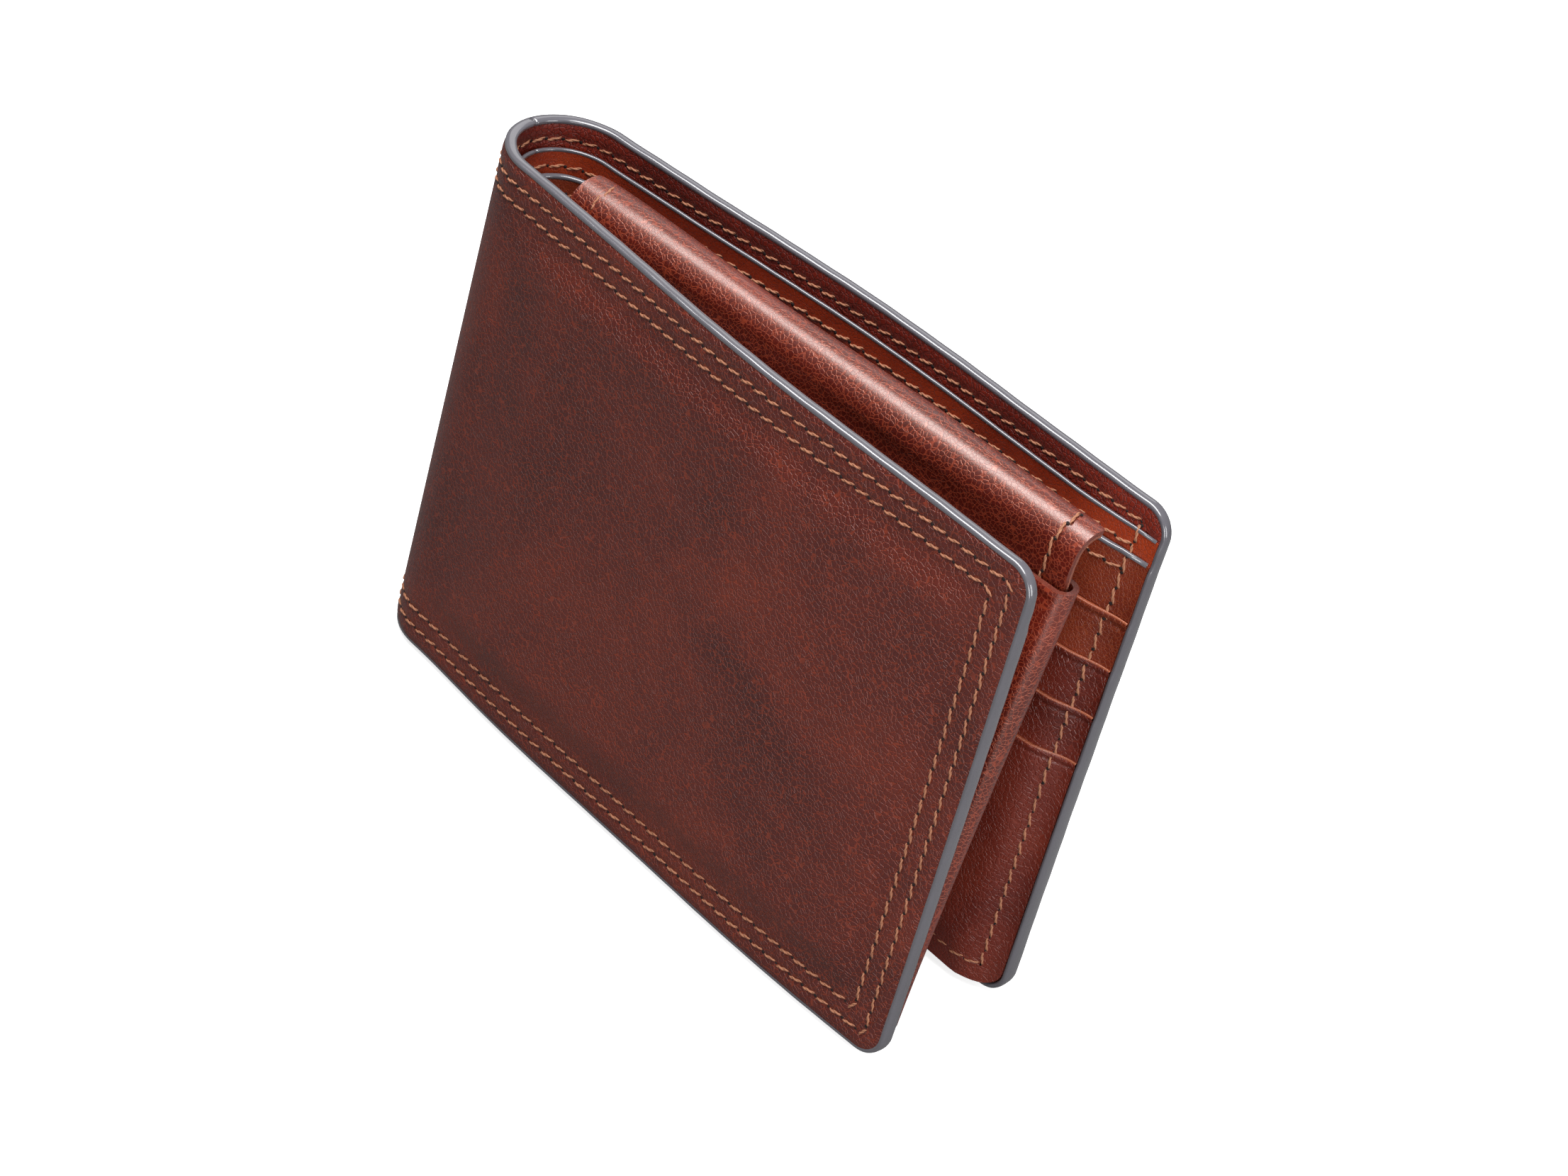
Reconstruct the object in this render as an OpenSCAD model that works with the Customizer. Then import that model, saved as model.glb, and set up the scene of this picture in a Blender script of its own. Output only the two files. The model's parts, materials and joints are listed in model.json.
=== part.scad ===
// Bifold wallet standing on its bottom edges, slightly open, with a coin pouch between its halves.
// +Z runs up along the spine, the spine is at -X, the back cover's outside faces +Y.
// The origin is the middle of the wallet's footprint. All sizes in mm.

/* [Overall] */
// width of the closed wallet, from the spine's outside to the free edge
wallet_width = 120; // [112:0.5:126]
// height of the covers
wallet_height = 89; // [86:0.5:95]
// outside radius of the rounded spine
spine_radius = 11; // [11:0.25:12]
// angle between the covers in the resting pose
rest_opening = 4.8; // [4.6:0.2:8]
// radius of the covers' free corners
corner_radius = 4; // [3:0.5:8]

/* [Covers] */
// thickness of the outer leather
cover_thickness = 1; // [0.8:0.1:1.1]
// thickness of the padding under the outer leather
padding_thickness = 0.5; // [0.3:0.05:0.5]
// distance of the padding from the cover's edges
padding_inset = 10; // [8:0.5:14]
// thickness of the cover's lining
lining_thickness = 0.5; // [0.3:0.05:0.5]
// distance of the outer stitch row from the cover's edge
outer_row_inset = 3; // [2:0.25:4]
// distance of the inner stitch row from the cover's edge
inner_row_inset = 6; // [5:0.25:8]

/* [Inside leaves] */
// depth from the cover's outside to the bill divider
divider_depth = 2.6; // [2.5:0.05:2.7]
// thickness of the bill divider
divider_thickness = 0.6; // [0.4:0.05:0.6]
// how far the bill divider's top lies below the covers' top
divider_drop = 4.5; // [4:0.25:6]
// depth from the cover's outside to the inside panel
panel_depth = 3.5; // [3.4:0.05:3.6]
// thickness of the inside panel
panel_thickness = 0.8; // [0.6:0.05:0.8]
// how far the inside panel's top lies below the covers' top
panel_drop = 9; // [8.5:0.25:12]

/* [Card pockets] */
// distance from the inside panel's top to the first pocket's mouth
first_pocket_drop = 10; // [8:0.5:12]
// step between pocket mouths
pocket_step = 8.5; // [7:0.25:9]
// thickness of one pocket leaf
pocket_thickness = 0.5; // [0.3:0.05:0.5]
// distance of the pockets from the spine's end of the panel
pocket_inset = 6; // [5:0.5:10]

/* [Coin pouch] */
// depth from the front cover's outside to the pouch's back wall
pouch_depth = 4.6; // [4.5:0.05:4.7]
// thickness of the pouch's walls and gussets
pouch_wall = 0.8; // [0.6:0.05:0.8]
// room for coins between the pouch's walls
pouch_room = 4.2; // [3:0.1:4.2]
// distance of the pouch from the free edge of the cover
pouch_edge_inset = 3; // [3:0.5:8]
// height of the top of the pouch's back wall
pouch_top = 80; // [76:0.5:80]
// height of the top of the pouch's front wall
pouch_mouth = 72; // [66:0.5:74]
// outside radius of the flap's rolled top
roll_radius = 4.3; // [3.8:0.1:4.3]
// thickness of the flap's leather
flap_leather = 0.6; // [0.4:0.05:0.6]
// height of the flap's free edge
flap_bottom = 54; // [52:0.5:56]
// width of the flap's slanted shoulders
flap_shoulder = 22; // [18:1:24]
// angle by which the pouch's free end stands off the front half
pouch_lean = 4.8; // [1:0.1:4.8]
// radius of the snap's cap
snap_radius = 5; // [4:0.5:5]

/* [Hidden] */
$fn = 96;

// length of one flat half, from the spine's arc to the free edge
half_length = wallet_width - spine_radius;
// extents of the footprint, used to put its middle at the origin
front_corner_y = -spine_radius * cos(rest_opening) - half_length * sin(rest_opening);
centre_x = (half_length - spine_radius) / 2;
centre_y = (spine_radius + front_corner_y) / 2;
// angle left free at each end of the spine's arc, so that it can fold against the halves
spine_gap = 8;
// depth of the padding and of the lining from the cover's outside
padding_depth = cover_thickness;
lining_depth = cover_thickness + padding_thickness;
// cut-in distance that keeps faces from coinciding in a difference
cut = 1;
// thread: width, thickness and how deep its groove is in the outer leather
thread_width = 0.6;
thread_thickness = 0.3;
thread_proud = 0.15;
groove_depth = 0.4;
// gap between neighbouring pocket leaves
pocket_gap = 0.25;
// lift of the inside leaves' lower edges above the covers' lower edges
leaf_lift = 0.5;
// lower edge of the pouch
pouch_bottom = 2;
// ends of the pouch along the half
pouch_start = 6;
pouch_end = half_length - pouch_edge_inset;
pouch_front_depth = pouch_depth + pouch_wall + pouch_room;
// the flap: total thickness, centre of its rolled top, and the straight leg behind it
flap_thickness = flap_leather + 0.4;
root_clearance = 0.05;
roll_depth = pouch_depth + pouch_wall + root_clearance + roll_radius;
roll_height = 84.5;
root_bottom = 70;
leg_length = roll_height - flap_bottom;
// half of the gap between the flap's fixed root and its moving part, at the top of the roll
crown_gap = 0.35;
flap_start = pouch_start;
flap_end = pouch_end - 1;
flap_row_inset = 4;
// straight part of the flap's sides above the shoulders, and the chamfer of its tip
flap_side = 4.5;
flap_tip_chamfer = 4;
// the snap's middle, measured along the flap's leg from the roll, and its parts' thicknesses
snap_drop = 24.5;
snap_x = (flap_start + flap_end) / 2;
snap_cap_thickness = 0.8;
snap_socket_thickness = 0.5;
snap_socket_height = roll_height - snap_drop;

leather = [0.36, 0.15, 0.11];
leather_inside = [0.27, 0.11, 0.08];
leather_bright = [0.63, 0.27, 0.13];
padding_grey = [0.45, 0.42, 0.4];
thread_tan = [0.72, 0.54, 0.4];
snap_metal = [0.72, 0.6, 0.36];

// puts children, drawn in the back half's own frame, at the row's origin
module at_back() {
    translate([-centre_x, -centre_y, 0])
    children();
}

// mirrors children, drawn as for the back half, onto the front half
module at_front() {
    translate([-centre_x, -centre_y, 0])
    rotate([0, 0, -rest_opening])
    mirror([0, 1, 0])
    children();
}

// as at_front, with the pouch's free end turned away from the front half
module at_pouch() {
    at_front()
    translate([pouch_start, spine_radius - pouch_depth, 0])
    rotate([0, 0, -pouch_lean])
    translate([-pouch_start, -spine_radius + pouch_depth, 0])
    children();
}

// rectangle with rounded corners on its free edge, in the plane of a half
module outline(x0, x1, z0, z1, round_top, radius) {
    square_top = round_top ? radius : 0;
    difference() {
        translate([x0, z0])
        square([x1 - x0, z1 - z0]);
        translate([x1 - radius, z0 - cut])
        square([radius + cut, radius + cut]);
        translate([x1 - radius, z1 - square_top])
        square([radius + cut, square_top + cut]);
    }
    translate([x1 - radius, z0 + radius])
    circle(radius);
    if (round_top) {
        translate([x1 - radius, z1 - radius])
        circle(radius);
    }
}

// plate of a half: outline pushed in from depth0 to depth1 below the cover's outside
module plate(x0, x1, z0, z1, depth0, depth1, round_top = false, radius = corner_radius) {
    translate([0, spine_radius - depth0, 0])
    rotate([90, 0, 0])
    linear_extrude(depth1 - depth0)
    outline(x0, x1, z0, z1, round_top, radius);
}

// square-cornered block of a half
module block(x0, x1, z0, z1, depth0, depth1) {
    translate([x0, spine_radius - depth1, z0])
    cube([x1 - x0, depth1 - depth0, z1 - z0]);
}

// one row of stitching along the top, free edge and bottom of a cover
module edge_row(inset, width, depth0, depth1) {
    radius = max(corner_radius - inset, 1);
    outside = radius + width / 2;
    inside = radius - width / 2;
    difference() {
        plate(0, half_length - inset + width / 2, inset - width / 2,
            wallet_height - inset + width / 2, depth0, depth1, true, outside);
        plate(-cut, half_length - inset - width / 2, inset + width / 2,
            wallet_height - inset - width / 2, depth0 - cut, depth1 + cut, true, inside);
    }
}

module both_edge_rows(width, depth0, depth1) {
    edge_row(outer_row_inset, width, depth0, depth1);
    edge_row(inner_row_inset, width, depth0, depth1);
}

module cover_leather() {
    color(leather)
    difference() {
        plate(0, half_length, 0, wallet_height, 0, cover_thickness, true);
        both_edge_rows(thread_width + 0.1, -cut, groove_depth);
    }
}

module cover_thread() {
    color(thread_tan)
    both_edge_rows(thread_width, groove_depth - thread_thickness, groove_depth);
}

module cover_padding() {
    color(padding_grey)
    plate(pouch_start, half_length - padding_inset, padding_inset, wallet_height - padding_inset,
        padding_depth, padding_depth + padding_thickness, true);
}

module cover_lining() {
    color(leather_inside)
    plate(0, half_length, 0, wallet_height, lining_depth, lining_depth + lining_thickness, true);
}

module bill_divider() {
    color(leather_bright)
    plate(0, half_length, 0, wallet_height - divider_drop,
        divider_depth, divider_depth + divider_thickness);
}

module inside_panel() {
    color(leather_inside)
    plate(0, half_length, 0, wallet_height - panel_drop, panel_depth, panel_depth + panel_thickness);
}

module pocket_leaf(index) {
    step = pocket_thickness + pocket_gap;
    depth = panel_depth + panel_thickness + pocket_gap + index * step;
    mouth = wallet_height - panel_drop - first_pocket_drop - index * pocket_step;
    color(leather)
    plate(pocket_inset, half_length - leaf_lift, leaf_lift, mouth, depth, depth + pocket_thickness);
}

// stitch rows on the inside panel: below its top edge and along its free edge above the pockets
module panel_thread() {
    face = panel_depth + panel_thickness;
    top_row = wallet_height - panel_drop - outer_row_inset;
    side_row = half_length - outer_row_inset - thread_width;
    side_bottom = wallet_height - panel_drop - first_pocket_drop + leaf_lift;
    color(thread_tan) {
        block(0, half_length - outer_row_inset, top_row, top_row + thread_width,
            face, face + thread_proud);
        block(side_row, side_row + thread_width, side_bottom, top_row, face, face + thread_proud);
    }
}

// arc of one layer around the spine
module spine_arc(z0, z1, depth0, depth1) {
    translate([-centre_x, -centre_y, 0])
    rotate([0, 0, 90 + spine_gap])
    rotate_extrude(angle = 180 - rest_opening - 2 * spine_gap)
    translate([spine_radius - depth1, z0])
    square([depth1 - depth0, z1 - z0]);
}

module spine_rows(width, depth0, depth1) {
    for (inset = [outer_row_inset, inner_row_inset]) {
        spine_arc(inset - width / 2, inset + width / 2, depth0, depth1);
        spine_arc(wallet_height - inset - width / 2, wallet_height - inset + width / 2, depth0, depth1);
    }
}

module outer_cover_back() { at_back() cover_leather(); }
module cover_padding_back() { at_back() cover_padding(); }
module cover_lining_back() { at_back() cover_lining(); }
module bill_divider_back() { at_back() bill_divider(); }
module card_panel() { at_back() inside_panel(); }
module card_pocket_1() { at_back() pocket_leaf(0); }
module card_pocket_2() { at_back() pocket_leaf(1); }
module card_pocket_3() { at_back() pocket_leaf(2); }
module card_pocket_4() { at_back() pocket_leaf(3); }
module cover_stitches_back() { at_back() cover_thread(); }
module card_panel_stitches() { at_back() panel_thread(); }

module outer_cover_spine() {
    color(leather)
    difference() {
        spine_arc(0, wallet_height, 0, cover_thickness);
        spine_rows(thread_width + 0.1, -cut, groove_depth);
    }
}

module cover_lining_spine() {
    color(leather_inside)
    spine_arc(0, wallet_height, lining_depth, lining_depth + lining_thickness);
}

module bill_divider_spine() {
    color(leather_bright)
    spine_arc(0, wallet_height - divider_drop, divider_depth, divider_depth + divider_thickness);
}

module inner_panel_spine() {
    color(leather_inside)
    spine_arc(0, wallet_height - panel_drop, panel_depth, panel_depth + panel_thickness);
}

module cover_stitches_spine() {
    color(thread_tan)
    spine_rows(thread_width, groove_depth - thread_thickness, groove_depth);
}

module outer_cover_front() { at_front() cover_leather(); }
module cover_padding_front() { at_front() cover_padding(); }
module cover_lining_front() { at_front() cover_lining(); }
module bill_divider_front() { at_front() bill_divider(); }
module inner_panel_front() { at_front() inside_panel(); }
module cover_stitches_front() { at_front() cover_thread(); }

module pouch_back_wall() {
    color(leather)
    at_pouch()
    plate(pouch_start, pouch_end, pouch_bottom, pouch_top, pouch_depth, pouch_depth + pouch_wall);
}

module pouch_front_wall() {
    color(leather)
    at_pouch()
    plate(pouch_start, pouch_end, pouch_bottom, pouch_mouth,
        pouch_front_depth, pouch_front_depth + pouch_wall);
}

// side gusset joining the pouch's walls, starting at x0 along the half
module gusset(x0) {
    color(leather_inside)
    at_pouch()
    block(x0, x0 + pouch_wall, pouch_bottom + corner_radius, root_bottom - 1,
        pouch_depth + pouch_wall, pouch_front_depth);
}

module pouch_gusset_left() { gusset(pouch_start); }
module pouch_gusset_right() { gusset(pouch_end - pouch_wall); }

module pouch_bottom_gusset() {
    color(leather_inside)
    at_pouch()
    block(pouch_start + pouch_wall, pouch_end - corner_radius, pouch_bottom, pouch_bottom + pouch_wall,
        pouch_depth + pouch_wall, pouch_front_depth);
}

// stitch rows on the pouch: below the back wall's top edge and inside its right-hand fold
module pouch_stitches() {
    top_row = pouch_top - outer_row_inset;
    side_row = pouch_end - flap_row_inset;
    color(thread_tan)
    at_pouch() {
        block(pouch_start + 1, side_row, top_row, top_row + thread_width,
            pouch_depth - thread_proud, pouch_depth);
        block(side_row, side_row + thread_width, pouch_bottom + corner_radius, top_row,
            pouch_depth - thread_proud, pouch_depth);
    }
}

// disc lying in the half's plane
module disc(x, z, radius, depth0, depth1) {
    translate([x, spine_radius - depth0, z])
    rotate([90, 0, 0])
    cylinder(h = depth1 - depth0, r = radius);
}

module pouch_snap_socket() {
    face = pouch_front_depth + pouch_wall;
    color(snap_metal)
    at_pouch()
    disc(snap_x, snap_socket_height, snap_radius - 1, face, face + snap_socket_thickness);
}

// places children, drawn with X as depth and Y as height from the roll's centre, along the half
module along_roll(x0, x1) {
    translate([x0, spine_radius - roll_depth, roll_height])
    rotate([90, 0, 90])
    linear_extrude(x1 - x0)
    mirror([1, 0])
    children();
}

// ring of the rolled top between two radii
module ring(r0, r1) {
    difference() {
        circle(r1);
        circle(r0);
    }
}

// fixed part of the flap: its sewn-in root and the near half of the rolled top
module flap_root() {
    inner = roll_radius - flap_thickness;
    color(leather_bright)
    at_pouch()
    along_roll(flap_start, flap_end) {
        intersection() {
            ring(inner, roll_radius);
            translate([-roll_radius - cut, 0])
            square([roll_radius + cut - crown_gap, roll_radius + cut]);
        }
        translate([-roll_radius, root_bottom - roll_height])
        square([flap_thickness, roll_height - root_bottom]);
    }
}

// far half of the rolled top, one layer of it between two radii
module moving_roll(r0, r1) {
    along_roll(flap_start, flap_end)
    intersection() {
        ring(r0, r1);
        translate([crown_gap, 0])
        square([roll_radius + cut, roll_radius + cut]);
    }
}

// outline of the flap's leg: full width at the roll, slanted shoulders, blunt tip
module leg_outline() {
    for_left = [[flap_start, leg_length], [flap_start, leg_length - flap_side],
        [flap_start + flap_shoulder, leg_length - flap_side - flap_shoulder],
        [flap_start + flap_shoulder + flap_tip_chamfer, 0]];
    mirrored = [for (i = [len(for_left) - 1:-1:0]) [flap_start + flap_end - for_left[i].x, for_left[i].y]];
    polygon(concat(for_left, mirrored));
}

// the flap's leg, hanging straight from the roll, one layer of it between two radii
module leg(r0, r1) {
    translate([0, spine_radius - roll_depth - r0, flap_bottom])
    rotate([90, 0, 0])
    linear_extrude(r1 - r0)
    leg_outline();
}

module flap_layer(r0, r1) {
    at_pouch() {
        moving_roll(r0, r1);
        leg(r0, r1);
    }
}

module flap_leather_outer() {
    color(leather_bright)
    flap_layer(roll_radius - flap_leather, roll_radius);
}

module flap_lining() {
    color(leather_inside)
    flap_layer(roll_radius - flap_thickness, roll_radius - flap_leather);
}

// places children on the outside of the flap's leg: X along the half, Y up it, Z outwards
module on_leg() {
    at_pouch()
    translate([0, spine_radius - roll_depth - roll_radius, roll_height])
    rotate([90, 0, 0])
    children();
}

module flap_stitches() {
    row_length = flap_side;
    color(thread_tan)
    for (x0 = [flap_start + flap_row_inset, flap_end - flap_row_inset - thread_width]) {
        on_leg()
        translate([x0, -row_length, 0])
        cube([thread_width, row_length, thread_proud]);
    }
}

module flap_snap_cap() {
    color(snap_metal)
    on_leg()
    translate([snap_x, -snap_drop, 0])
    cylinder(h = snap_cap_thickness, r = snap_radius);
}

outer_cover_back();
cover_padding_back();
cover_lining_back();
bill_divider_back();
card_panel();
card_pocket_1();
card_pocket_2();
card_pocket_3();
card_pocket_4();
cover_stitches_back();
card_panel_stitches();
outer_cover_spine();
cover_lining_spine();
bill_divider_spine();
inner_panel_spine();
cover_stitches_spine();
outer_cover_front();
cover_padding_front();
cover_lining_front();
bill_divider_front();
inner_panel_front();
cover_stitches_front();
pouch_back_wall();
pouch_front_wall();
pouch_gusset_left();
pouch_gusset_right();
pouch_bottom_gusset();
pouch_stitches();
pouch_snap_socket();
flap_root();
flap_leather_outer();
flap_lining();
flap_stitches();
flap_snap_cap();
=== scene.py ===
"""Bifold wallet with a coin pouch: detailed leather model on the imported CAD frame."""
import json
import math
import random

import bmesh
import bpy
import numpy as np
from mathutils import Matrix, Vector


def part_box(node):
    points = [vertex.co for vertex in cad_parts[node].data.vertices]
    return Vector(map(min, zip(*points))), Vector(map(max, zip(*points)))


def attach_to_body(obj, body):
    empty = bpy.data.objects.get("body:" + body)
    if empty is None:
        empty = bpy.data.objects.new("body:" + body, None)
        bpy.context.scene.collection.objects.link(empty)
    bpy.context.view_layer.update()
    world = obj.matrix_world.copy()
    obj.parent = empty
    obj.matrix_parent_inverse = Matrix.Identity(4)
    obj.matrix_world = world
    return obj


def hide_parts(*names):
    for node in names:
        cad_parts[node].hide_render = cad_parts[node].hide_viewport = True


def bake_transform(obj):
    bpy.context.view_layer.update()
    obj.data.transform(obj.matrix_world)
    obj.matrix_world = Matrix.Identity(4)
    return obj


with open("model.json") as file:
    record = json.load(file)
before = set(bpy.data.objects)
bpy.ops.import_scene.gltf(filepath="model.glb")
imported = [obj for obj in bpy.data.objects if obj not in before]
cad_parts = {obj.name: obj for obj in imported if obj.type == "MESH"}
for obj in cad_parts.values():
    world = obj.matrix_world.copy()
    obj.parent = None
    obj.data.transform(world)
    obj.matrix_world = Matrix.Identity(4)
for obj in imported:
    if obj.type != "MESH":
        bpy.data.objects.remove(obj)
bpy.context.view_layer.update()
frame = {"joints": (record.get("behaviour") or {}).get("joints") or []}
random.seed(7)

# ---------------------------------------------------------------- sizes in mm, from the CAD frame
MM = 0.001
back_lo, back_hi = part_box("outer_cover_back")
spine_lo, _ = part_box("outer_cover_spine")
X0 = back_lo.x / MM
Y_OUT = back_hi.y / MM
RADIUS = X0 - spine_lo.x / MM
LENGTH = (back_hi.x - back_lo.x) / MM
HEIGHT = back_hi.z / MM
OPENING = math.radians(4.8)  # angle between the halves at rest
CENTRE = np.array([X0, Y_OUT - RADIUS])
ARC = RADIUS * (math.pi - OPENING) / 2
U_MAX = ARC + LENGTH
MID_ANGLE = math.pi / 2 + (math.pi - OPENING) / 2
BACK_ANGLE = math.pi / 2
FRONT_ANGLE = 1.5 * math.pi - OPENING
JOINTS = {j["name"]: j for j in frame["joints"]}

# shape of the leather in mm, read or guessed from the photo
CORNER = 4.0
BULGE_FRONT = 1.7
BULGE_BACK = 2.2
BULGE_RUN = 7.0
WAVE_HEIGHT = 0.25
PADDING_RISE = 0.85
SPLIT = 0.95  # depth where the outer leather ends
SHELL_IN = 1.9  # depth where the lining ends
LAYER_GAP = 0.03
DIVIDER_THICK = 0.5
PANEL_THICK = 0.75
POCKET_THICK = 0.6
POUCH_THICK = 0.9
DIVIDER_TOP = HEIGHT - 4.2
PANEL_TOP = HEIGHT - 8.2
LEAF_END = U_MAX - 0.35
LEAF_FOOT = 0.4
FIRST_POCKET_DROP = 10.0
POCKET_PITCH = 8.5
POCKETS = 4
POCKET_MOUTHS = [PANEL_TOP - FIRST_POCKET_DROP - POCKET_PITCH * k for k in range(POCKETS)]
ROW_INSETS = (3.0, 6.0)  # the two stitch rows round each cover
UV_SCALE = 0.01


def smooth(x, a, b):
    """Smoothstep of x from 0 at a to 1 at b."""
    t = np.clip((np.asarray(x, float) - a) / (b - a), 0, 1)
    return t * t * (3 - 2 * t)


def place(u, t, z):
    """Points in metres from mm: u runs along the shell's outside from the spine's middle, positive on the
    back half; t is the depth below the outside; z is the height."""
    u, t, z = np.broadcast_arrays(*(np.asarray(a, float) for a in (u, t, z)))
    s = np.abs(u) - ARC
    flat = s > 0
    back = u >= 0
    angle = np.where(flat, np.where(back, BACK_ANGLE, FRONT_ANGLE), MID_ANGLE - u / RADIUS)
    r = RADIUS - t
    bulge = np.where(back, BULGE_BACK, BULGE_FRONT)
    sl = np.clip(s, 0, LENGTH)
    lift = np.where(flat, bulge * np.sin(math.pi * sl / LENGTH) * (1 - np.exp(-sl / BULGE_RUN)), 0)
    wave = WAVE_HEIGHT * np.sin(sl * 0.09 + z * 0.035) * smooth(sl, 0, 25)
    lift = lift + np.where(flat, wave, 0)
    x = CENTRE[0] + (r + lift) * np.cos(angle)
    y = CENTRE[1] + (r + lift) * np.sin(angle)
    along = np.where(flat, s, 0)
    direction = np.where(back, 0.0, -OPENING)
    x = x + along * np.cos(direction)
    y = y + along * np.sin(direction)
    return np.stack([x, y, z], -1) * MM


def edge_distance(u, z):
    """Distance in mm from the border of the shell, rounded at its free corners."""
    px = np.abs(u) - (U_MAX - CORNER)
    pz = np.maximum(z - (HEIGHT - CORNER), CORNER - z)
    outside = np.hypot(np.maximum(px, 0), np.maximum(pz, 0))
    inside = np.minimum(np.maximum(px, pz), 0)
    return CORNER - (outside + inside)


def crown(u, z):
    """How far the outer leather stands out: padded middle, pulled-in stitch lines, rounded rim."""
    d = edge_distance(u, z)
    h = PADDING_RISE * smooth(d, 7.6, 12.5) * smooth(np.abs(u) - ARC, -4, 16)
    h = h - 0.3 * (1 - smooth(d, 0, 1.1))
    for row in ROW_INSETS:
        h = h - 0.16 * np.exp(-((d - row) / 0.5) ** 2)
    return h


def leaf_gap(u, z):
    """Slack between inside layers, closing at the sewn free edge and bottom."""
    d = np.minimum(U_MAX - np.abs(u), z + 3)
    return smooth(d, 2.0, 16.0)


def skive(u):
    """Share of its thickness a leaf keeps towards the sewn free edge."""
    return 0.38 + 0.62 * smooth(U_MAX - np.abs(u), 0.5, 8.0)


def divider_depth(u, z):
    return SHELL_IN + LAYER_GAP + 0.75 * leaf_gap(u, z)


def divider_inner(u, z):
    return divider_depth(u, z) + DIVIDER_THICK * skive(u)


def panel_depth(u, z):
    return divider_inner(u, z) + LAYER_GAP + 0.5 * leaf_gap(u, z)


def panel_inner(u, z):
    return panel_depth(u, z) + PANEL_THICK * skive(u)


# ---------------------------------------------------------------- meshes
def make_mesh(name, verts, faces, uvs=None, material=None):
    mesh = bpy.data.meshes.new(name)
    mesh.from_pydata([tuple(v) for v in verts], [], faces)
    if uvs is not None:
        layer = mesh.uv_layers.new(name="surface")
        index = np.empty(len(mesh.loops), int)
        mesh.loops.foreach_get("vertex_index", index)
        layer.data.foreach_set("uv", np.asarray(uvs, float)[index].ravel())
    mesh.validate()
    mesh.polygons.foreach_set("use_smooth", [True] * len(mesh.polygons))
    ob = bpy.data.objects.new(name, mesh)
    bpy.context.scene.collection.objects.link(ob)
    if material:
        mesh.materials.append(material)
    return ob


def grid_faces(nu, nv, offset=0, flip=False, wrap_v=False):
    out = []
    last = nv if wrap_v else nv - 1
    for i in range(nu - 1):
        for j in range(last):
            k = (j + 1) % nv
            near, far = offset + i * nv, offset + (i + 1) * nv
            f = (near + j, far + j, far + k, near + k)
            out.append(f[::-1] if flip else f)
    return out


def thick_sheet(name, outer, inner, uv, material):
    """Closed sheet between two (nu, nv, 3) grids of points."""
    nu, nv = outer.shape[:2]
    n = nu * nv
    verts = np.concatenate([outer.reshape(-1, 3), inner.reshape(-1, 3)])
    faces = grid_faces(nu, nv) + grid_faces(nu, nv, n, True)
    rim = [(i, 0) for i in range(nu)] + [(nu - 1, j) for j in range(1, nv)]
    rim += [(i, nv - 1) for i in range(nu - 2, -1, -1)] + [(0, j) for j in range(nv - 2, 0, -1)]
    ids = [i * nv + j for i, j in rim]
    for a, b in zip(ids, ids[1:] + ids[:1]):
        faces.append((b, a, a + n, b + n))
    uvs = np.concatenate([uv.reshape(-1, 2), uv.reshape(-1, 2) + 0.37])
    ob = make_mesh(name, verts, faces, uvs, material)
    fix_normals(ob)
    return ob


def fix_normals(ob, merge=0.0):
    """Turns all faces outwards, after joining points closer than merge."""
    bm = bmesh.new()
    bm.from_mesh(ob.data)
    if merge:
        bmesh.ops.remove_doubles(bm, verts=bm.verts, dist=merge)
    bmesh.ops.recalc_face_normals(bm, faces=bm.faces)
    bm.to_mesh(ob.data)
    bm.free()
    ob.data.polygons.foreach_set("use_smooth", [True] * len(ob.data.polygons))
    ob.data.update()


def sharpen(ob, angle=60):
    """Splits the shading at edges sharper than the angle."""
    ob.data.set_sharp_from_angle(angle=math.radians(angle))


FINE, COARSE, EDGE_BAND = 0.5, 1.6, 9.0  # mesh steps near the edges and elsewhere, and the edges' width


def edge_steps(total, fine, coarse, band):
    """Positions from 0 to total, finely spaced within band of both ends."""
    a = np.arange(0, band, fine)
    mid = np.linspace(band, total - band, max(int((total - 2 * band) / coarse), 2))
    return np.concatenate([a, mid, total - a[::-1]])


def corner_drop(us, end):
    """How far the rounded corner cuts in at each point along the sheet."""
    return CORNER - np.sqrt(np.maximum(CORNER**2 - np.maximum(us - (end - CORNER), 0) ** 2, 0))


def half_grid(sign, top, end, bottom, rise):
    """u and z grids of one half of a full-width sheet, from the spine's middle to the free end."""
    body = np.arange(0, end - EDGE_BAND, COARSE)
    tail = np.linspace(end - EDGE_BAND, end - CORNER, 9)
    turn = end - CORNER + CORNER * np.sin(np.linspace(0, math.pi / 2, 10))
    us = np.concatenate([body, tail, turn[1:]])
    v = edge_steps(top - bottom, FINE, COARSE, EDGE_BAND) / (top - bottom)
    drop = corner_drop(us, end)
    low = bottom + drop
    high = top - (drop if rise else 0 * drop)
    z = low[:, None] + v[None, :] * (high - low)[:, None]
    u = np.broadcast_to(us[:, None], z.shape) * sign
    return u, z


def full_width(name, sign, top, end, depth_out, depth_in, material, bottom=0.0, rise=True):
    """Half of a sheet that wraps round the spine. depth_out and depth_in are functions of u and z."""
    u, z = half_grid(sign, top, end, bottom, rise)
    outer = place(u, depth_out(u, z), z)
    inner = place(u, depth_in(u, z), z)
    ob = thick_sheet(name, outer, inner, np.stack([u, z], -1) * UV_SCALE, material)
    sharpen(ob)
    return ob


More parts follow.
